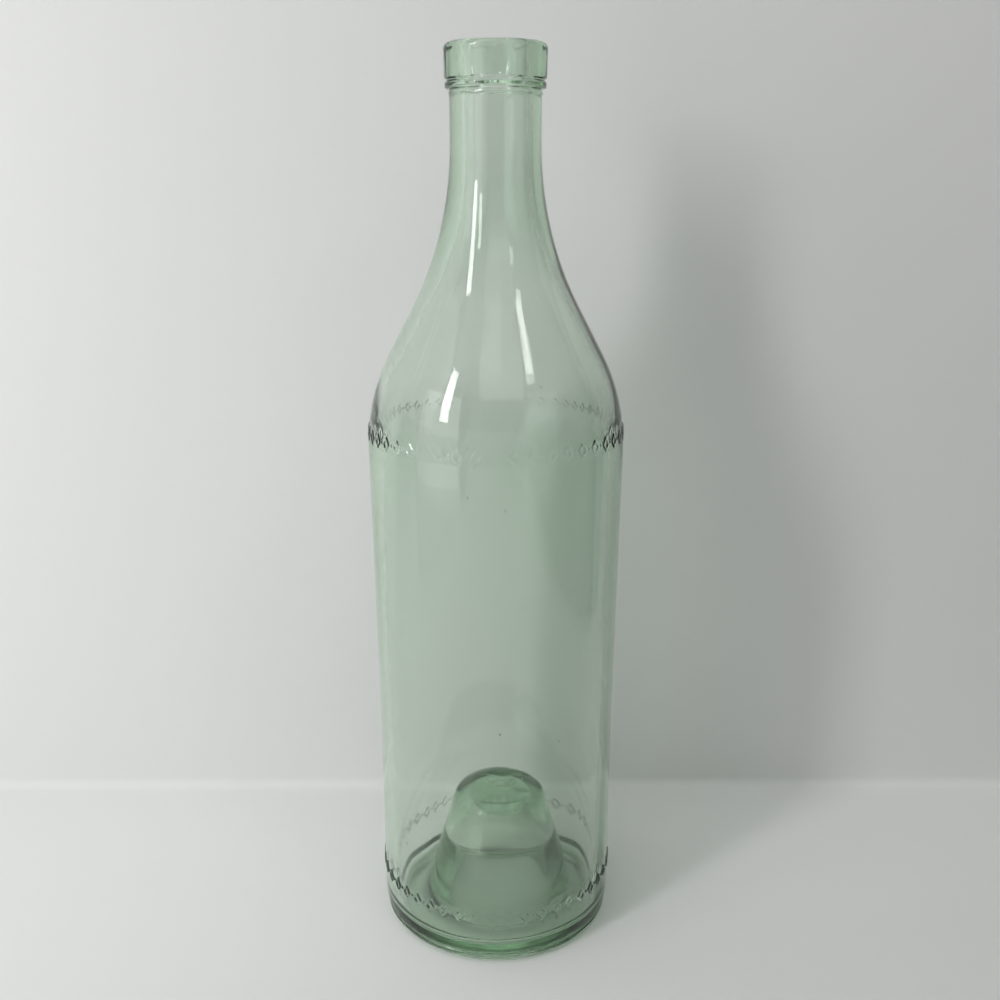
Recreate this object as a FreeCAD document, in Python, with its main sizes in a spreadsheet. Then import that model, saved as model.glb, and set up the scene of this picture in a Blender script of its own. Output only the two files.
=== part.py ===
import FreeCAD, Part
import math
import os
import Sketcher

# A spirits bottle blown in a mould: a body that widens a little from its waist to the shoulder,
# a long sloping shoulder, a short neck under a tall collar with a bead below it, and a deep
# push-up under the foot.
# The origin is the centre of the foot's resting plane, +Z up the axis.

# Driving sizes in millimetres, the slope in degrees.
SIZES = {
    # body, outside
    "waist_radius": 39.4,
    "waist_height": 75.0,
    "widening": 1.4,
    "wall_top": 166.5,
    "heel_height": 9.3,
    "heel_setback": 0.85,
    "foot_bevel": 1.8,
    # shoulder and neck, outside
    "shoulder_radius": 62.7,
    "shoulder_slope": 27.6,
    "flare_radius": 103.5,
    "neck_radius": 13.7,
    "neck_length": 13.52,
    # finish, with what stands proud measured from the neck
    "bead_flank_height": 0.5,
    "bead_edge_proud": 1.08,
    "bead_height": 1.8,
    "bead_round": 2.36,
    "groove_height": 0.65,
    "groove_proud": 0.5,
    "collar_lip_height": 0.6,
    "collar_proud": 1.4,
    "collar_widening": 0.25,
    "collar_height": 7.6,
    "collar_round": 1.8,
    "collar_bevel": 0.92,
    "mouth_bevel": 0.9,
    # inside
    "bore_radius": 9.3,
    "throat_radius": 70.0,
    "inner_shoulder_radius": 34.0,
    "wall": 3.4,
    "floor_height": 6.5,
    "floor_bevel": 3.6,
    # push-up, seen from inside the bottle
    "trough_width": 12.6,
    "mound_foot_bevel": 5.5,
    "mound_taper": 8.5,
    "mound_side_height": 36.3,
    "mound_dome_rise": 4.9,
    "mound_top_bevel": 3.4,
    # push-up, seen from below
    "rest_width": 3.8,
    "hollow_foot_height": 4.2,
    "push_up_wall": 4.4,
    "crown_thickness": 11.7,
    "hollow_dome_rise": 2.0,
}

doc = FreeCAD.newDocument("cognac_bottle")
sheet = doc.addObject("Spreadsheet::Sheet", "sizes")
for row, (name, value) in enumerate(SIZES.items(), start=1):
    sheet.set(f"A{row}", name.replace("_", " "))
    sheet.set(f"B{row}", str(value))
    sheet.setAlias(f"B{row}", name)
doc.recompute()


def size(name):
    return float(sheet.get(name))


def point(radius, height):
    return FreeCAD.Vector(radius, height, 0)


# The section of the glass, from the foot up the outside, over the mouth, down the inside to the
# push-up's dome, and back along the push-up's underside to the foot.
# Each corner and centre is worked out here, and the sketch then ties it to the sheet.

slope = math.radians(size("shoulder_slope"))
downhill = point(math.cos(slope), math.sin(slope))
uphill = point(-math.sin(slope), math.cos(slope))

# The foot: a flat ring to stand on, a bevel, and the heel's arc up to the wall.
heel_top = point(size("waist_radius"), size("heel_height"))
heel_foot = point(size("waist_radius") - size("heel_setback"), size("foot_bevel"))
rest_outer = point(heel_foot.x - size("foot_bevel"), 0)
rest_inner = point(rest_outer.x - size("rest_width"), 0)
heel_rise = heel_top.y - heel_foot.y
heel_radius = (heel_rise**2 + size("heel_setback") ** 2) / (2 * size("heel_setback"))
heel_centre = point(heel_top.x - heel_radius, heel_top.y)

# The wall: upright to the waist, then widening to the shoulder.
waist = point(size("waist_radius"), size("waist_height"))
wall_top = point(size("waist_radius") + size("widening"), size("wall_top"))
widening = wall_top - waist
wall_inward = point(-widening.y, widening.x).normalize()

# The shoulder: a round, a straight slope, and a flare into the neck.
shoulder_centre = wall_top + wall_inward * size("shoulder_radius")
shoulder_end = shoulder_centre + downhill * size("shoulder_radius")
flare_start_radius = size("neck_radius") + size("flare_radius") * (1 - math.cos(slope))
slope_length = (shoulder_end.x - flare_start_radius) / math.sin(slope)
flare_start = shoulder_end + uphill * slope_length
flare_centre = flare_start + downhill * size("flare_radius")
neck_foot = point(size("neck_radius"), flare_centre.y)

# The finish: the bead between two flanks, the groove over it, and the collar with a rounded,
# bevelled top.
neck_top = neck_foot + point(0, size("neck_length"))
bead_foot = neck_top + point(size("bead_edge_proud"), size("bead_flank_height"))
bead_top = bead_foot + point(0, size("bead_height"))
bead_stand_off = math.sqrt(size("bead_round") ** 2 - (size("bead_height") / 2) ** 2)
bead_centre = (bead_foot + bead_top) * 0.5 - point(bead_stand_off, 0)
groove = point(neck_top.x + size("groove_proud"), bead_top.y + size("groove_height"))
collar_foot = point(neck_top.x + size("collar_proud"), groove.y + size("collar_lip_height"))
collar_top = collar_foot + point(size("collar_widening"), size("collar_height"))
collar_centre = collar_top - point(size("collar_round"), 0)
collar_edge = collar_centre + point(1, 1).normalize() * size("collar_round")
rim = collar_edge + point(-size("collar_bevel"), size("collar_bevel"))
mouth = point(size("bore_radius"), rim.y)

# The inside: the bore, the throat, a slope one wall behind the outer one, and an upright wall.
bore_radius = size("bore_radius")
inner_radius = size("waist_radius") - size("wall")
inner_slope_reach = downhill.dot(shoulder_end) - size("wall")
inner_shoulder_radius = size("inner_shoulder_radius")
inner_centre_radius = inner_radius - inner_shoulder_radius
inner_centre_reach = inner_slope_reach - inner_shoulder_radius
inner_centre_height = (inner_centre_reach - inner_centre_radius * downhill.x) / downhill.y
inner_shoulder_centre = point(inner_centre_radius, inner_centre_height)
inner_shoulder_end = inner_shoulder_centre + downhill * inner_shoulder_radius
throat_end_radius = bore_radius + size("throat_radius") * (1 - math.cos(slope))
inner_slope_length = (inner_shoulder_end.x - throat_end_radius) / math.sin(slope)
throat_end = inner_shoulder_end + uphill * inner_slope_length
throat_centre = throat_end + downhill * size("throat_radius")
bore_foot = point(bore_radius, throat_centre.y)
inner_wall_top = point(inner_radius, inner_centre_height)
floor_edge = point(inner_radius, size("floor_height"))

# The push-up: a steep cone with a low dome, and the hollow under it with a thick crown.
mound_foot = floor_edge - point(size("trough_width"), 0)
mound_shoulder = mound_foot + point(-size("mound_taper"), size("mound_side_height"))
mound_top = point(0, mound_shoulder.y + size("mound_dome_rise"))
hollow_foot = point(mound_foot.x - size("push_up_wall"), size("hollow_foot_height"))
hollow_top = point(0, mound_top.y - size("crown_thickness"))
hollow_shoulder = point(
    mound_shoulder.x - size("push_up_wall"), hollow_top.y - size("hollow_dome_rise")
)


def cap_centre(edge, top):
    """Centre, on the axis, of the arc through a dome's edge and its top."""
    rise = top.y - edge.y
    return point(0, top.y - (edge.x**2 + rise**2) / (2 * rise))


class Section:
    """A closed outline drawn edge after edge in a sketch."""

    def __init__(self, sketch):
        self.sketch = sketch
        self.ends = {}

    def line(self, name, start, end):
        index = self.sketch.addGeometry(Part.LineSegment(start, end), False)
        self.ends[name] = (index, 1, 2)

    def arc(self, name, centre, start, end):
        circle = Part.Circle(centre, FreeCAD.Vector(0, 0, 1), (start - centre).Length)
        angles = [math.atan2(p.y - centre.y, p.x - centre.x) for p in (start, end)]
        turn = (start - centre).cross(end - centre).z
        if turn > 0:
            index = self.sketch.addGeometry(Part.ArcOfCircle(circle, *angles), False)
            self.ends[name] = (index, 1, 2)
        else:
            index = self.sketch.addGeometry(Part.ArcOfCircle(circle, *reversed(angles)), False)
            self.ends[name] = (index, 2, 1)

    def join(self, kind, first, second):
        one, _, out = self.ends[first]
        two, into, _ = self.ends[second]
        self.sketch.addConstraint(Sketcher.Constraint(kind, one, out, two, into))

    def rule(self, kind, *edges):
        self.sketch.addConstraint(Sketcher.Constraint(kind, *(self.ends[e][0] for e in edges)))

    def ends_on(self, edge, axis):
        """Put both ends of an edge on the sketch's own X or Y axis."""
        index, start, end = self.ends[edge]
        for place in (start, end):
            self.put(index, place, axis)

    def centre_on(self, edge, axis):
        self.put(self.ends[edge][0], 3, axis)

    def put(self, index, place, axis):
        line = -1 if axis == "X" else -2
        self.sketch.addConstraint(Sketcher.Constraint("PointOnObject", index, place, line))

    def level(self, arc):
        """Put an arc's centre level with the point where the arc starts."""
        index, start, _ = self.ends[arc]
        self.sketch.addConstraint(Sketcher.Constraint("Horizontal", index, start, index, 3))

    def bind(self, number, name, expression):
        self.sketch.renameConstraint(number, name)
        self.sketch.setExpression(f"Constraints.{name}", expression)

    def place(self, name, edge, radius=None, height=None, above=None):
        """Tie the point where an edge starts to a radius, and to a height or a rise above another."""
        index, start, _ = self.ends[edge]
        geometry = self.sketch.getPoint(index, start)
        if radius:
            rule = Sketcher.Constraint("DistanceX", -1, 1, index, start, geometry.x)
            self.bind(self.sketch.addConstraint(rule), name + "_radius", radius)
        if height:
            lower, lower_end = (self.ends[above][0], self.ends[above][1]) if above else (-1, 1)
            gap = geometry.y - self.sketch.getPoint(lower, lower_end).y
            rule = Sketcher.Constraint("DistanceY", lower, lower_end, index, start, gap)
            self.bind(self.sketch.addConstraint(rule), name + "_height", height)

    def stand_off(self, edge, base, value, expression):
        """Tie the distance of an edge's start from another, straight edge."""
        index, start, _ = self.ends[edge]
        rule = Sketcher.Constraint("Distance", index, start, self.ends[base][0], value)
        self.bind(self.sketch.addConstraint(rule), edge + "_stand_off", expression)

    def radius(self, edge, value, expression):
        rule = Sketcher.Constraint("Radius", self.ends[edge][0], value)
        self.bind(self.sketch.addConstraint(rule), edge + "_curve", expression)


bottle = doc.addObject("PartDesign::Body", "bottle")
bottle.Label = "bottle"
plane = next(f for f in bottle.Origin.OriginFeatures if f.Role == "XZ_Plane")
sketch = bottle.newObject("Sketcher::SketchObject", "glass_section")
sketch.AttachmentSupport = [(plane, "")]
sketch.MapMode = "FlatFace"
doc.recompute()

glass = Section(sketch)
glass.line("rest", rest_inner, rest_outer)
glass.line("foot_edge", rest_outer, heel_foot)
glass.arc("heel", heel_centre, heel_foot, heel_top)
glass.line("lower_wall", heel_top, waist)
glass.line("upper_wall", waist, wall_top)
glass.arc("shoulder", shoulder_centre, wall_top, shoulder_end)
glass.line("slope", shoulder_end, flare_start)
glass.arc("flare", flare_centre, flare_start, neck_foot)
glass.line("neck", neck_foot, neck_top)
glass.line("bead_under", neck_top, bead_foot)
glass.arc("bead", bead_centre, bead_foot, bead_top)
glass.line("bead_over", bead_top, groove)
glass.line("collar_lip", groove, collar_foot)
glass.line("collar", collar_foot, collar_top)
glass.arc("collar_round", collar_centre, collar_top, collar_edge)
glass.line("collar_edge", collar_edge, rim)
glass.line("rim", rim, mouth)
glass.line("bore", mouth, bore_foot)
glass.arc("throat", throat_centre, bore_foot, throat_end)
glass.line("inner_slope", throat_end, inner_shoulder_end)
glass.arc("inner_shoulder", inner_shoulder_centre, inner_shoulder_end, inner_wall_top)
glass.line("inner_wall", inner_wall_top, floor_edge)
glass.line("floor", floor_edge, mound_foot)
glass.line("mound_side", mound_foot, mound_shoulder)
glass.arc("mound_dome", cap_centre(mound_shoulder, mound_top), mound_shoulder, mound_top)
glass.line("axis", mound_top, hollow_top)
glass.arc("hollow_dome", cap_centre(hollow_shoulder, hollow_top), hollow_top, hollow_shoulder)
glass.line("hollow_side", hollow_shoulder, hollow_foot)
glass.line("hollow_floor", hollow_foot, rest_inner)

# How the edges meet: smoothly where the mould is smooth, at a corner elsewhere.
SMOOTH = {
    ("heel", "lower_wall"),
    ("upper_wall", "shoulder"),
    ("shoulder", "slope"),
    ("slope", "flare"),
    ("flare", "neck"),
    ("collar_round", "collar_edge"),
    ("bore", "throat"),
    ("throat", "inner_slope"),
    ("inner_slope", "inner_shoulder"),
    ("inner_shoulder", "inner_wall"),
}
order = list(glass.ends)
for first, second in zip(order, order[1:] + order[:1]):
    glass.join("Tangent" if (first, second) in SMOOTH else "Coincident", first, second)
for edge in ("lower_wall", "neck", "bore", "inner_wall"):
    glass.rule("Vertical", edge)
for edge in ("rim", "floor"):
    glass.rule("Horizontal", edge)
glass.rule("Parallel", "slope", "inner_slope")
glass.ends_on("rest", "X")
glass.ends_on("axis", "Y")
glass.centre_on("mound_dome", "Y")
glass.centre_on("hollow_dome", "Y")

# The sizes of the outside.
heel_foot_radius = "sizes.waist_radius - sizes.heel_setback"
rest_radius = heel_foot_radius + " - sizes.foot_bevel"
glass.place("rest", "rest", rest_radius + " - sizes.rest_width")
glass.place("foot", "foot_edge", rest_radius)
glass.place("heel_foot", "heel", heel_foot_radius, "sizes.foot_bevel")
glass.place("heel_top", "lower_wall", "sizes.waist_radius", "sizes.heel_height")
glass.place("waist", "upper_wall", height="sizes.waist_height")
glass.place("wall_top", "shoulder", "sizes.waist_radius + sizes.widening", "sizes.wall_top")
glass.radius("shoulder", size("shoulder_radius"), "sizes.shoulder_radius")
glass.radius("flare", size("flare_radius"), "sizes.flare_radius")
slope_lean = Sketcher.Constraint("Angle", glass.ends["slope"][0], math.pi / 2 + slope)
glass.bind(sketch.addConstraint(slope_lean), "slope_lean", "90 deg + sizes.shoulder_slope * 1 deg")
glass.place("neck", "neck", "sizes.neck_radius")
glass.place("neck_top", "bead_under", height="sizes.neck_length", above="neck")

# The sizes of the finish, each height above the edge before.
bead_edge = "sizes.neck_radius + sizes.bead_edge_proud"
groove_radius = "sizes.neck_radius + sizes.groove_proud"
collar_radius = "sizes.neck_radius + sizes.collar_proud"
collar_top_radius = collar_radius + " + sizes.collar_widening"
glass.place("bead_foot", "bead", bead_edge, "sizes.bead_flank_height", "bead_under")
glass.place("bead_top", "bead_over", bead_edge, "sizes.bead_height", "bead")
glass.radius("bead", size("bead_round"), "sizes.bead_round")
glass.place("groove", "collar_lip", groove_radius, "sizes.groove_height", "bead_over")
glass.place("collar_foot", "collar", collar_radius, "sizes.collar_lip_height", "collar_lip")
glass.place("collar_top", "collar_round", collar_top_radius, "sizes.collar_height", "collar")
glass.radius("collar_round", size("collar_round"), "sizes.collar_round")
glass.level("collar_round")
collar_lean = Sketcher.Constraint("Angle", glass.ends["collar_edge"][0], math.radians(135))
sketch.addConstraint(collar_lean)
glass.place("rim", "rim", height="sizes.collar_bevel", above="collar_edge")

# The sizes of the inside and of the push-up.
inner_wall = "sizes.waist_radius - sizes.wall"
mound_foot_radius = inner_wall + " - sizes.trough_width"
mound_top_radius = mound_foot_radius + " - sizes.mound_taper"
glass.place("mouth", "bore", "sizes.bore_radius")
glass.radius("throat", size("throat_radius"), "sizes.throat_radius")
glass.stand_off("inner_slope", "slope", size("wall"), "sizes.wall")
glass.radius("inner_shoulder", size("inner_shoulder_radius"), "sizes.inner_shoulder_radius")
glass.place("inner_wall", "inner_wall", inner_wall)
glass.place("floor", "floor", height="sizes.floor_height")
glass.place("mound_foot", "mound_side", mound_foot_radius)
glass.place(
    "mound_shoulder", "mound_dome", mound_top_radius, "sizes.mound_side_height", "mound_side"
)
glass.place("mound_top", "axis", height="sizes.mound_dome_rise", above="mound_dome")
crown = Sketcher.Constraint("Distance", glass.ends["axis"][0], size("crown_thickness"))
glass.bind(sketch.addConstraint(crown), "crown", "sizes.crown_thickness")
glass.place(
    "hollow_foot",
    "hollow_floor",
    mound_foot_radius + " - sizes.push_up_wall",
    "sizes.hollow_foot_height",
)
glass.place("hollow_shoulder", "hollow_side", mound_top_radius + " - sizes.push_up_wall")
glass.place("hollow_dome", "hollow_dome", height="sizes.hollow_dome_rise", above="hollow_side")
doc.recompute()
if sketch.solve() != 0 or not sketch.FullyConstrained:
    raise SystemExit("the glass section is not fully set")

turned = bottle.newObject("PartDesign::Revolution", "turned_glass")
turned.Profile = sketch
turned.ReferenceAxis = (sketch, ["V_Axis"])
turned.Angle = 360
doc.recompute()


def ring_edges(shape, corner):
    """Names of the circular edges that run round the axis through a corner of the section."""
    names = []
    for number, edge in enumerate(shape.Edges, 1):
        spot = edge.Vertexes[0].Point
        apart = math.hypot(math.hypot(spot.x, spot.y) - corner.x, spot.z - corner.y)
        if len(edge.Vertexes) == 1 and not edge.Degenerated and apart < 1e-4:
            names.append(f"Edge{number}")
    return names


# The bevels, each on one corner of the turned glass.
BEVELS = (
    ("floor_bevel", floor_edge),
    ("mound_foot_bevel", mound_foot),
    ("mound_top_bevel", mound_shoulder),
    ("mouth_bevel", mouth),
)
latest = turned
for name, corner in BEVELS:
    bevelled = bottle.newObject("PartDesign::Chamfer", name)
    bevelled.Base = (latest, ring_edges(latest.Shape, corner))
    bevelled.setExpression("Size", f"sizes.{name}")
    bottle.Tip = bevelled
    doc.recompute()
    latest = bevelled

# Nothing is written unless every object is sound.
for item in doc.Objects:
    if "Invalid" in item.State or "Error" in item.State:
        raise SystemExit(f"{item.Name} failed: {item.State}")
shape = bottle.Shape
if shape.isNull() or not shape.isValid() or len(shape.Solids) != 1:
    raise SystemExit("the bottle is not one sound solid")
os.makedirs("parts", exist_ok=True)
shape.exportStep(f"parts/{bottle.Label}.step")
print(f"glass {shape.Volume / 1000:.1f} cm3, height {shape.BoundBox.ZMax:.2f} mm")
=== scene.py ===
import math

import bmesh
import bpy
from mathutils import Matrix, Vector


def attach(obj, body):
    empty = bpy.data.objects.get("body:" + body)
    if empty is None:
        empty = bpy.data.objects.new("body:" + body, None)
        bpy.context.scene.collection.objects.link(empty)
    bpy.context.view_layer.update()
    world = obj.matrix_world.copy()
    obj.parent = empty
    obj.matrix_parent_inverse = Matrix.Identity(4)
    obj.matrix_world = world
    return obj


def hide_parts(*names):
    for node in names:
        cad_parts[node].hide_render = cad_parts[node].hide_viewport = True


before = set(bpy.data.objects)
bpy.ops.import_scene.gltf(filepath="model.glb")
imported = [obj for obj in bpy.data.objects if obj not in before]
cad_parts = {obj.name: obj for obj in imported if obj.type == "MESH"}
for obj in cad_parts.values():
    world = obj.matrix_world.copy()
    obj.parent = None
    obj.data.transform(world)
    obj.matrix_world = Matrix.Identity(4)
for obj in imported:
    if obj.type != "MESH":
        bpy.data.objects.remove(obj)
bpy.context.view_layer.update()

# Camera: held about 35 cm in front of the bottle, level with its neck, and looking down at it,
# with a short lens.
look_down = math.radians(16.48)
look_aside = math.radians(0.213)
camera = bpy.data.objects.new("camera", bpy.data.cameras.new("camera"))
camera.data.sensor_width = 36
camera.data.lens = 40.31
camera.data.clip_start = 0.01
camera.location = (0, -0.3499, 0.2518)
gaze = Vector((
    math.sin(look_aside) * math.cos(look_down),
    math.cos(look_aside) * math.cos(look_down),
    -math.sin(look_down),
))
camera.rotation_euler = gaze.to_track_quat("-Z", "Y").to_euler()
bpy.context.collection.objects.link(camera)
bpy.context.scene.camera = camera


# Table and wall: one pale matt sheet that lies on the table and turns up behind the bottle.
# From behind or below it is clear, so it never hides the bottle.
class Link:
    """A node's output. Arithmetic on links adds Math nodes, and node() adds any other node."""

    def __init__(self, socket):
        self.socket = socket

    def node(self, kind, settings=None, inputs=None, output=0):
        tree = self.socket.id_data
        made = tree.nodes.new(kind)
        for name, value in (settings or {}).items():
            setattr(made, name, value)
        for name, value in (inputs or {}).items():
            if isinstance(value, Link):
                tree.links.new(made.inputs[name], value.socket)
            else:
                made.inputs[name].default_value = value
        return Link(made.outputs[output]) if made.outputs else None

    def math(self, operation, *others):
        numbers = dict(enumerate((self, *others)))
        return self.node("ShaderNodeMath", {"operation": operation}, numbers)

    def __add__(self, other):
        return self.math("ADD", other)

    def __radd__(self, other):
        return self.math("ADD", other)

    def __sub__(self, other):
        return self.math("SUBTRACT", other)

    def __rsub__(self, other):
        return self.node("ShaderNodeMath", {"operation": "SUBTRACT"}, {0: other, 1: self})

    def __mul__(self, other):
        return self.math("MULTIPLY", other)

    def __rmul__(self, other):
        return self.math("MULTIPLY", other)

    def __truediv__(self, other):
        return self.math("DIVIDE", other)

    def step(self, low, high):
        """0 below low and 1 above high, with a soft step between."""
        return self.node(
            "ShaderNodeMapRange",
            {"interpolation_type": "SMOOTHSTEP"},
            {"Value": self, "From Min": low, "From Max": high},
        )


wall_y = 0.073
cove = 0.004
sheet_left = -1.2
sheet_right = 0.30
sheet_front = -1.0
sheet_top = 1.2
cove_steps = 8
sheet_line = [(sheet_front, 0.0), (wall_y - cove, 0.0)]
for step in range(1, cove_steps + 1):
    bend = math.radians(90 * step / cove_steps)
    sheet_line.append((wall_y - cove + cove * math.sin(bend), cove - cove * math.cos(bend)))
sheet_line.append((wall_y, sheet_top))
sheet_points = [(x, y, z) for y, z in sheet_line for x in (sheet_left, sheet_right)]
sheet_faces = [(2 * i, 2 * i + 1, 2 * i + 3, 2 * i + 2) for i in range(len(sheet_line) - 1)]
sheet_mesh = bpy.data.meshes.new("sheet")
sheet_mesh.from_pydata(sheet_points, [], sheet_faces)
sheet_mesh.shade_smooth()
sheet = bpy.data.objects.new("sheet", sheet_mesh)
bpy.context.collection.objects.link(sheet)

sheet_paint = bpy.data.materials.new("pale matt sheet")
sheet_paint.use_nodes = True
sheet_tree = sheet_paint.node_tree
sheet_tree.nodes.clear()
sheet_side = Link(sheet_tree.nodes.new("ShaderNodeNewGeometry").outputs["Backfacing"])
sheet_matt = sheet_side.node("ShaderNodeBsdfDiffuse", inputs={"Color": (0.88, 0.888, 0.88, 1)})
sheet_clear = sheet_side.node("ShaderNodeBsdfTransparent")
sheet_both = sheet_side.node(
    "ShaderNodeMixShader", inputs={0: sheet_side, 1: sheet_matt, 2: sheet_clear}
)
sheet_side.node("ShaderNodeOutputMaterial", inputs={"Surface": sheet_both})
sheet_mesh.materials.append(sheet_paint)


# Light: a tall window in front and to the left gives the long highlights and the soft shadow, a
# smaller one high on the right gives the second highlight, and soft light from above and from
# low on the left fills the rest. The room itself is dark.
def panel(name, width, tall, watts, place, turn, climb):
    """A rectangular soft light that shines level along +Y, then turned and tipped down."""
    light = bpy.data.objects.new(name, bpy.data.lights.new(name, "AREA"))
    light.data.shape = "RECTANGLE"
    light.data.size = width
    light.data.size_y = tall
    light.data.energy = watts
    light.data.color = (1.0, 1.0, 0.995)
    light.location = place
    light.rotation_euler = (math.radians(90 - climb), 0, math.radians(turn))
    bpy.context.collection.objects.link(light)


panel("window", 0.225, 0.93, 9.0, (-1.19, -1.07, 1.005), -48, 0)
panel("far window", 0.13, 0.16, 0.42, (0.54, -0.65, 0.975), 39.5, 42.5)
panel("left wall", 0.40, 0.50, 0.85, (-0.45, -0.35, 0.22), -45, 0)
panel("left corner", 0.30, 0.30, 0.25, (-0.42, -0.12, 0.38), -74, 30)
panel("room", 0.80, 0.40, 0.8, (0.10, -0.90, 0.90), 5, 35)
panel("above left", 1.00, 0.60, 1.0, (-0.30, -0.60, 1.20), -15, 60)
panel("above", 1.00, 0.50, 2.5, (0.00, -0.25, 1.30), 0, 75)

room = bpy.data.worlds.new("room")
room.use_nodes = True
room.node_tree.nodes["Background"].inputs["Color"].default_value = (1.0, 1.0, 0.98, 1)
room.node_tree.nodes["Background"].inputs["Strength"].default_value = 0.03
bpy.context.scene.world = room

# Bottle: one piece of pale green glass, blown in a mould, with a deep push-up in its foot, a
# frieze in low relief on the shoulder and above the foot, and a tall collar over a bead at its
# mouth. Its section is turned about the axis; the relief, the waves and the seeds are nodes.
mm = 0.001
height = 286.996
body_radius = 40.85
neck_radius = 13.7
inner_radius = 36.0
bore_radius = 9.3
shoulder_slope = math.tan(math.radians(27.6))
shoulder_start = 182.0
inner_shoulder_end = 235.8


def rounded(corners):
    """Points (r, z) along a line of corners (r, z, radius), with each corner rounded."""
    line = [Vector(corners[0][:2])]
    for before, here, after in zip(corners, corners[1:], corners[2:]):
        corner = Vector(here[:2])
        if here[2] == 0:
            line.append(corner)
            continue
        back = (Vector(before[:2]) - corner).normalized()
        ahead = (Vector(after[:2]) - corner).normalized()
        turn = math.pi - back.angle(ahead)
        start = corner + back * here[2] * math.tan(turn / 2)
        side = (ahead - back * back.dot(ahead)).normalized()
        steps = max(2, math.ceil(turn / math.radians(9)), math.ceil(here[2] * turn / 4.0))
        for step in range(steps + 1):
            bend = turn * step / steps
            line.append(
                start + side * here[2] * (1 - math.cos(bend)) - back * here[2] * math.sin(bend)
            )
    line.append(Vector(corners[-1][:2]))
    return line


# From the top of the hollow underneath to the foot, up the outside, and from the mouth down the
# inside to the top of the push-up.
hollow = rounded([
    (0.0, 38.2, 0),
    (3.5, 38.2, 12.0),
    (8.7, 37.6, 0.8),
    (12.5, 33.0, 5.0),
    (16.6, 27.0, 5.0),
    (19.6, 2.4, 3.0),
    (28.0, 1.6, 3.0),
    (33.0, 0.0, 2.5),
    (35.0, 0.0, 0),
])
outside = rounded([
    (35.0, 0.0, 0),
    (38.1, 0.0, 3.4),
    (39.4, 5.5, 31.0),
    (39.4, 75.0, 1800.0),
    (body_radius, shoulder_start, 62.7),
    (neck_radius, shoulder_start + (body_radius - neck_radius) / shoulder_slope, 103.5),
    (neck_radius, 272.0, 0),
    (neck_radius, 273.9, 0.4),
    (15.0, 274.3, 0.75),
    (15.0, 276.0, 0.75),
    (14.15, 276.6, 0.25),
    (15.15, 277.2, 0.45),
    (15.37, height, 1.9),
    (12.0, height, 0),
])
inside = rounded([
    (12.0, height, 0),
    (bore_radius, height, 1.0),
    (bore_radius, inner_shoulder_end, 70.0),
    (inner_radius, inner_shoulder_end - (inner_radius - bore_radius) / shoulder_slope, 34.0),
    (inner_radius, 60.0, 150.0),
    (inner_radius, 4.6, 5.0),
    (24.8, 4.8, 6.0),
    (22.6, 18.5, 12.0),
    (15.6, 42.5, 4.5),
    (8.0, 47.5, 14.0),
    (0.0, 47.7, 0),
])

# Rows of points up each skin. The two friezes get close rows of many points, the neck with its
# bead and the top of the push-up get close rows, and the plain glass gets wide ones.
shoulder_frieze = 172.6
foot_frieze = 18.2
neck_seam = 273.0
frieze_half = 2.6
friezes = (shoulder_frieze, foot_frieze)
frieze_edges = [level + side * frieze_half for level in friezes for side in (-1, 1)]
plain_columns, frieze_columns = 192, 768
plain_spacing, top_spacing, fine_spacing = 4.0, 0.55, 0.3
rows = []
for skin, line in enumerate((hollow, outside, inside)):
    coarse = []
    for here, after in zip(line, line[1:]):
        stops = {0.0, 1.0}
        if skin == 1:
            low, high = sorted((here.y, after.y))
            crossed = [edge for edge in frieze_edges if low < edge < high]
            stops |= {(edge - here.y) / (after.y - here.y) for edge in crossed}
        stops = sorted(stops)
        coarse += [here.lerp(after, stop) for stop in stops[:-1]]
    coarse.append(line[-1])
    for here, after in zip(coarse, coarse[1:]):
        level = (here.y + after.y) / 2
        in_frieze = skin == 1 and min(abs(level - middle) for middle in friezes) < frieze_half
        on_neck = skin == 1 and 271.5 < level < 275
        on_top = skin == 2 and 36 < level < 49
        spacing = fine_spacing if in_frieze or on_neck else top_spacing if on_top else plain_spacing
        parts = math.ceil((after - here).length / spacing)
        for part in range(parts):
            point = here.lerp(after, part / parts)
            columns = frieze_columns if in_frieze else plain_columns
            rows.append((point.x, point.y, skin, columns))
rows.append((inside[-1].x, inside[-1].y, 2, plain_columns))
starts = [[row[2] for row in rows].index(skin) for skin in range(3)] + [len(rows) - 1]

# A fold in the glass on top of the push-up, as (x, y) in mm.
fold_line = ((5.5, 8.5), (11.5, 7.5), (6.8, 3.4), (0.5, 1.6), (-6.5, 3.8))
fold = [Vector(place) for place in fold_line]
fold_depth = [1.0, 2.0, 1.8, 0.6, 0.1]
fold_width = 0.6


def folded(x, y):
    """How far the fold sinks the glass at a point on top of the push-up."""
    deepest = 0.0
    for start, end, first, last in zip(fold, fold[1:], fold_depth, fold_depth[1:]):
        here, run = Vector((x, y)), end - start
        along = min(1.0, max(0.0, (here - start).dot(run) / run.length_squared))
        away = (here - start.lerp(end, along)).length
        depth = first + (last - first) * along
        deepest = max(deepest, depth * math.exp(-((away / fold_width) ** 2)))
    return deepest


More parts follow.
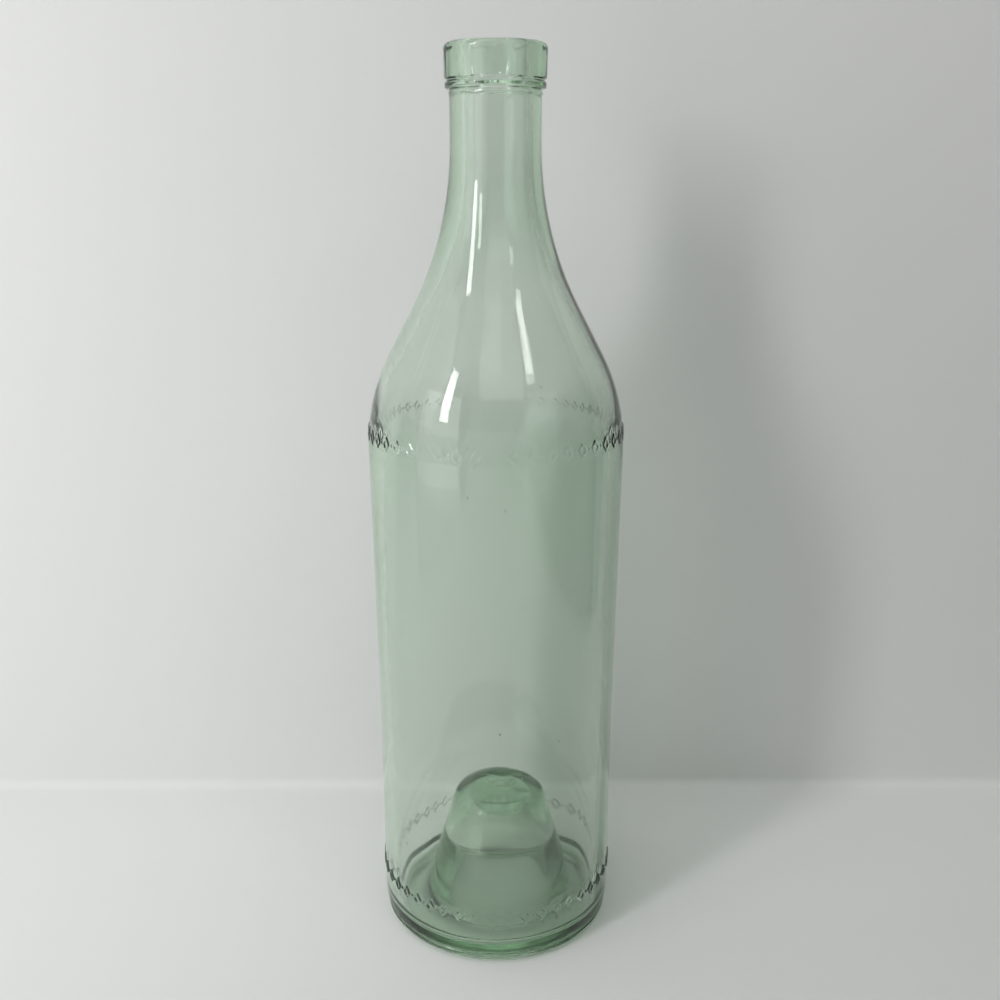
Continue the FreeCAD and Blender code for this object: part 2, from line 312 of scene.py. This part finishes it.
# The map runs once round the bottle in U; in V the hollow is -1 to 0, the outside 0 to 1 and the
# inside 1 to 2.
blank = bmesh.new()
skin_layer = blank.verts.layers.float.new("skin")
map_layer = blank.loops.layers.uv.new("around and along")
map_spots = {}
turned = []
for number, (row_radius, row_level, skin, columns) in enumerate(rows):
    row_place = skin - 1 + (number - starts[skin]) / (starts[skin + 1] - starts[skin])
    ring = []
    for i in range(1 if row_radius < 1e-6 else columns):
        turn = 2 * math.pi * i / columns
        right, back = row_radius * math.cos(turn), row_radius * math.sin(turn)
        sunk = folded(right, back) if skin == 2 and 36 < row_level < 49 else 0.0
        vertex = blank.verts.new((right * mm, back * mm, (row_level - sunk) * mm))
        vertex[skin_layer] = skin
        map_spots[vertex] = Vector((i / columns, row_place))
        ring.append(vertex)
    turned.append(ring)
for low, high in zip(turned, turned[1:]):
    few, many = (low, high) if len(low) < len(high) else (high, low)
    share = len(many) // len(few)
    for i, corner in enumerate(few):
        run = [many[(i * share + k) % len(many)] for k in range(share + 1)]
        if len(few) == 1:
            for first, second in zip(many, many[1:] + many[:1]):
                blank.faces.new((corner, first, second))
        else:
            blank.faces.new([corner, *run, few[(i + 1) % len(few)]])
for face in blank.faces:
    wraps = max(map_spots[corner.vert].x for corner in face.loops) > 0.5
    for corner in face.loops:
        spot = map_spots[corner.vert].copy()
        if wraps and spot.x < 0.4:
            spot.x += 1.0
        corner[map_layer].uv = spot
bmesh.ops.remove_doubles(blank, verts=blank.verts, dist=1e-6)
bmesh.ops.recalc_face_normals(blank, faces=blank.faces)
blank_mesh = bpy.data.meshes.new("bottle blank")
blank.to_mesh(blank_mesh)
blank.free()
blank_mesh.shade_smooth()
bottle = bpy.data.objects.new("bottle_glass", blank_mesh)
bpy.context.collection.objects.link(bottle)

# Glass: clear and pale green by absorption, so thick parts are greener. Its skin has faint
# smears, and the hollow underneath is duller. A share of the light goes straight on through
# each skin and lightens the shadow, as it does in real glass.
glass = bpy.data.materials.new("pale green glass")
glass.use_nodes = True
glass_tree = glass.node_tree
shader = glass_tree.nodes["Principled BSDF"]
shader.inputs["Base Color"].default_value = (1, 1, 1, 1)
shader.inputs["IOR"].default_value = 1.5
shader.inputs["Transmission Weight"].default_value = 1.0
place = Link(glass_tree.nodes.new("ShaderNodeTexCoord").outputs["Object"])
place_z = place.node("ShaderNodeSeparateXYZ", inputs={"Vector": place}, output=2)
smears = place.node(
    "ShaderNodeTexNoise", inputs={"Vector": place, "Scale": 45.0, "Detail": 1.0, "Roughness": 0.6}
)
map_spot = place.node("ShaderNodeUVMap", {"uv_map": "around and along"})
along = map_spot.node("ShaderNodeSeparateXYZ", inputs={"Vector": map_spot}, output=1)
worn = 1 - place_z.step(0.004, 0.020)
under = 1 - along.step(-0.06, -0.01)
roughness = smears.step(0.45, 0.8) * 0.04 + 0.05 + worn * 0.03 + under * 0.10
glass_tree.links.new(shader.inputs["Roughness"], roughness.socket)
volume = place.node(
    "ShaderNodeVolumeAbsorption", inputs={"Color": (0.06, 0.50, 0.09, 1), "Density": 37.0}
)
glass_tree.links.new(glass_tree.nodes["Material Output"].inputs["Volume"], volume.socket)
straight_on = 0.58
shadow_ray = Link(glass_tree.nodes.new("ShaderNodeLightPath").outputs["Is Shadow Ray"])
let_through = shadow_ray.node("ShaderNodeBsdfTransparent")
lit_glass = shadow_ray.node(
    "ShaderNodeMixShader",
    inputs={0: shadow_ray * straight_on, 1: Link(shader.outputs["BSDF"]), 2: let_through},
)
glass_tree.links.new(glass_tree.nodes["Material Output"].inputs["Surface"], lit_glass.socket)

# Friezes of lozenges and beads, the seam under the bead, the tool marks on the collar, the mould
# seam above the foot, the waves of both skins, the push-up set a little off the axis, and seeds.
marks = bpy.data.node_groups.new("mould marks, waves and seeds", "GeometryNodeTree")
marks.interface.new_socket("Blank", in_out="INPUT", socket_type="NodeSocketGeometry")
marks.interface.new_socket("Bottle", in_out="OUTPUT", socket_type="NodeSocketGeometry")
settings = {
    "Shoulder Frieze Height": shoulder_frieze * mm,
    "Shoulder Frieze Count": 46.0,
    "Foot Frieze Height": foot_frieze * mm,
    "Foot Frieze Count": 45.0,
    "Lozenge Half Width": 1.95 * mm,
    "Lozenge Half Height": 2.5 * mm,
    "Bead Radius": 0.55 * mm,
    "Shoulder Relief": 0.25 * mm,
    "Foot Relief": 0.4 * mm,
    "Outer Wave": 0.05 * mm,
    "Inner Wave": 0.8 * mm,
    "Push-up Offset": 1.5 * mm,
    "Seed Radius": 0.28 * mm,
    "Random Seed": 7.0,
}
for name, value in settings.items():
    made = marks.interface.new_socket(name, in_out="INPUT", socket_type="NodeSocketFloat")
    made.default_value = value
group_in = marks.nodes.new("NodeGroupInput").outputs
blank_in = Link(group_in["Blank"])
given = {name: Link(group_in[name]) for name in settings}
position = blank_in.node("GeometryNodeInputPosition")
axes = position.node("ShaderNodeSeparateXYZ", inputs={"Vector": position}).socket.node.outputs
x, y, z = (Link(axes[name]) for name in "XYZ")
which_skin = position.node(
    "GeometryNodeInputNamedAttribute", {"data_type": "FLOAT"}, {"Name": "skin"}
)
on_outside = 1 - (which_skin - 1).math("ABSOLUTE")
on_inside = which_skin.step(1.2, 1.8)
radius = (x * x + y * y).math("SQRT")
angle = y.math("ARCTAN2", x)


def frieze(level, count, relief):
    """Open lozenges round the bottle at one level, with a bead between each two."""
    share = (angle * count / (2 * math.pi)).math("FRACT") - 0.5
    pitch = radius * 2 * math.pi / count
    across = (share * pitch).math("ABSOLUTE")
    up = z - level
    climb = up.math("ABSOLUTE")
    lozenge = 1 - across / given["Lozenge Half Width"] - climb / given["Lozenge Half Height"]
    gap = (share.math("ABSOLUTE") - 0.5) * pitch
    bead = 1 - (gap * gap + up * up).math("SQRT") / given["Bead Radius"]
    ridge = lozenge.step(0.0, 0.12) * (1 - lozenge.step(0.42, 0.54))
    return ridge.math("MAXIMUM", bead.step(-0.1, 0.7)) * relief


def noise(scale, stretch, shift):
    """Even noise around 0, with its features stretched up the bottle."""
    shifted = {"X": x + shift, "Y": y + given["Random Seed"], "Z": z / stretch}
    spot = position.node("ShaderNodeCombineXYZ", inputs=shifted)
    looks = {"Vector": spot, "Scale": scale, "Detail": 1.0}
    return spot.node("ShaderNodeTexNoise", inputs=looks) - 0.5


# Numbers from here on are in metres, as the nodes see them.
ornament = frieze(
    given["Shoulder Frieze Height"], given["Shoulder Frieze Count"], given["Shoulder Relief"]
) + frieze(given["Foot Frieze Height"], given["Foot Frieze Count"], given["Foot Relief"])
from_neck_seam = z - neck_seam * mm + noise(900.0, 1.0, 2.0) * 0.0012
neck_seam_relief = (1 - (from_neck_seam.math("ABSOLUTE") / 0.0004)).step(0.0, 1.0) * 0.00022
from_mould_seam = z - 0.0088
mould_seam_relief = (1 - (from_mould_seam.math("ABSOLUTE") / 0.0008)).step(0.0, 1.0) * 0.00012
tooled = z.step(0.2755, 0.278) * (1 - z.step(0.2850, 0.2866)) * noise(700.0, 0.15, 5.0) * 0.0004
between_ends = z.step(0.001, 0.006) * (1 - z.step(0.270, 0.284))
outer_slow, outer_quick = noise(35.0, 2.0, 0.0), noise(160.0, 1.5, 1.0)
outer_wave = outer_slow * given["Outer Wave"] * 2 + outer_quick * given["Outer Wave"] * 0.5
inner_slow, inner_quick = noise(28.0, 6.0, 3.0), noise(120.0, 3.0, 4.0)
inner_wave = inner_slow * given["Inner Wave"] * 2 + inner_quick * given["Inner Wave"] * 0.1
wall = radius.step(0.020, 0.030).math("MAXIMUM", z.step(0.052, 0.060))
outer_height = ornament + neck_seam_relief + mould_seam_relief + tooled + outer_wave * between_ends
inner_height = inner_wave * between_ends * (wall * 0.75 + 0.25)
skin_height = on_outside * outer_height + on_inside * inner_height
normal = position.node("GeometryNodeInputNormal")
lift = normal.node(
    "ShaderNodeVectorMath", {"operation": "SCALE"}, {0: normal, "Scale": skin_height}
)
push_up = (1 - radius.step(0.012, 0.030)) * (1 - z.step(0.055, 0.070)) * given["Push-up Offset"]
sideways = push_up.node("ShaderNodeCombineXYZ", inputs={"X": push_up})
offset = lift.node("ShaderNodeVectorMath", {"operation": "ADD"}, {0: lift, 1: sideways})
skinned = blank_in.node(
    "GeometryNodeSetPosition", inputs={"Geometry": blank_in, "Offset": offset}
)

# Seeds: small bubbles inside the wall, each a little longer than wide, scattered over the outside
# and sunk into the glass.
in_wall = on_outside * z.step(0.020, 0.0201) * (1 - z.step(0.2499, 0.250)) * 0.9
on_skin = skinned.node(
    "GeometryNodeDistributePointsOnFaces",
    inputs={"Mesh": skinned, "Density": in_wall * 700.0, "Seed": given["Random Seed"]},
)
skin_normal = Link(on_skin.socket.node.outputs["Normal"])
depth = on_skin.node(
    "FunctionNodeRandomValue",
    inputs={2: -0.0026, 3: -0.0012, "Seed": given["Random Seed"]},
    output=1,
)
inward = on_skin.node(
    "ShaderNodeVectorMath", {"operation": "SCALE"}, {0: skin_normal, "Scale": depth}
)
sunk_points = on_skin.node(
    "GeometryNodeSetPosition", inputs={"Geometry": on_skin, "Offset": inward}
)
seed = on_skin.node(
    "GeometryNodeMeshIcoSphere", inputs={"Radius": given["Seed Radius"], "Subdivisions": 2}
)
seed = seed.node("GeometryNodeFlipFaces", inputs={"Mesh": seed})
seed = seed.node("GeometryNodeSetShadeSmooth", inputs={"Geometry": seed})
size = on_skin.node(
    "FunctionNodeRandomValue",
    inputs={2: 0.35, 3: 1.0, "Seed": given["Random Seed"] + 1},
    output=1,
)
stretched = size.node("ShaderNodeCombineXYZ", inputs={"X": size, "Y": size, "Z": size * 1.8})
seeds = on_skin.node(
    "GeometryNodeInstanceOnPoints",
    inputs={"Points": sunk_points, "Instance": seed, "Scale": stretched},
)
joined = skinned.node("GeometryNodeJoinGeometry")
marks.links.new(joined.socket.node.inputs[0], skinned.socket)
marks.links.new(joined.socket.node.inputs[0], seeds.socket)
joined = joined.node("GeometryNodeRealizeInstances", inputs={"Geometry": joined})
joined = joined.node(
    "GeometryNodeSetMaterial", inputs={"Geometry": joined, "Material": glass}
)
joined.node("NodeGroupOutput", inputs={"Bottle": joined})

maker = bottle.modifiers.new("marks", "NODES")
maker.node_group = marks
for item in marks.interface.items_tree:
    if item.item_type == "SOCKET" and item.in_out == "INPUT" and item.name in settings:
        maker[item.identifier] = settings[item.name]
finished = bottle.evaluated_get(bpy.context.evaluated_depsgraph_get())
glass_mesh = bpy.data.meshes.new_from_object(finished)
glass_mesh.name = "bottle glass"
bottle.modifiers.remove(maker)
bottle.data = glass_mesh
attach(bottle, "root")
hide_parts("bottle")

# Picture: plain colours, and enough bounces for light that crosses four skins of glass.
bpy.context.scene.view_settings.view_transform = "Standard"
paths = bpy.context.scene.cycles
paths.use_light_tree = False
paths.max_bounces = 12
paths.transmission_bounces = 12
paths.glossy_bounces = 6
paths.diffuse_bounces = 2
paths.transparent_max_bounces = 6
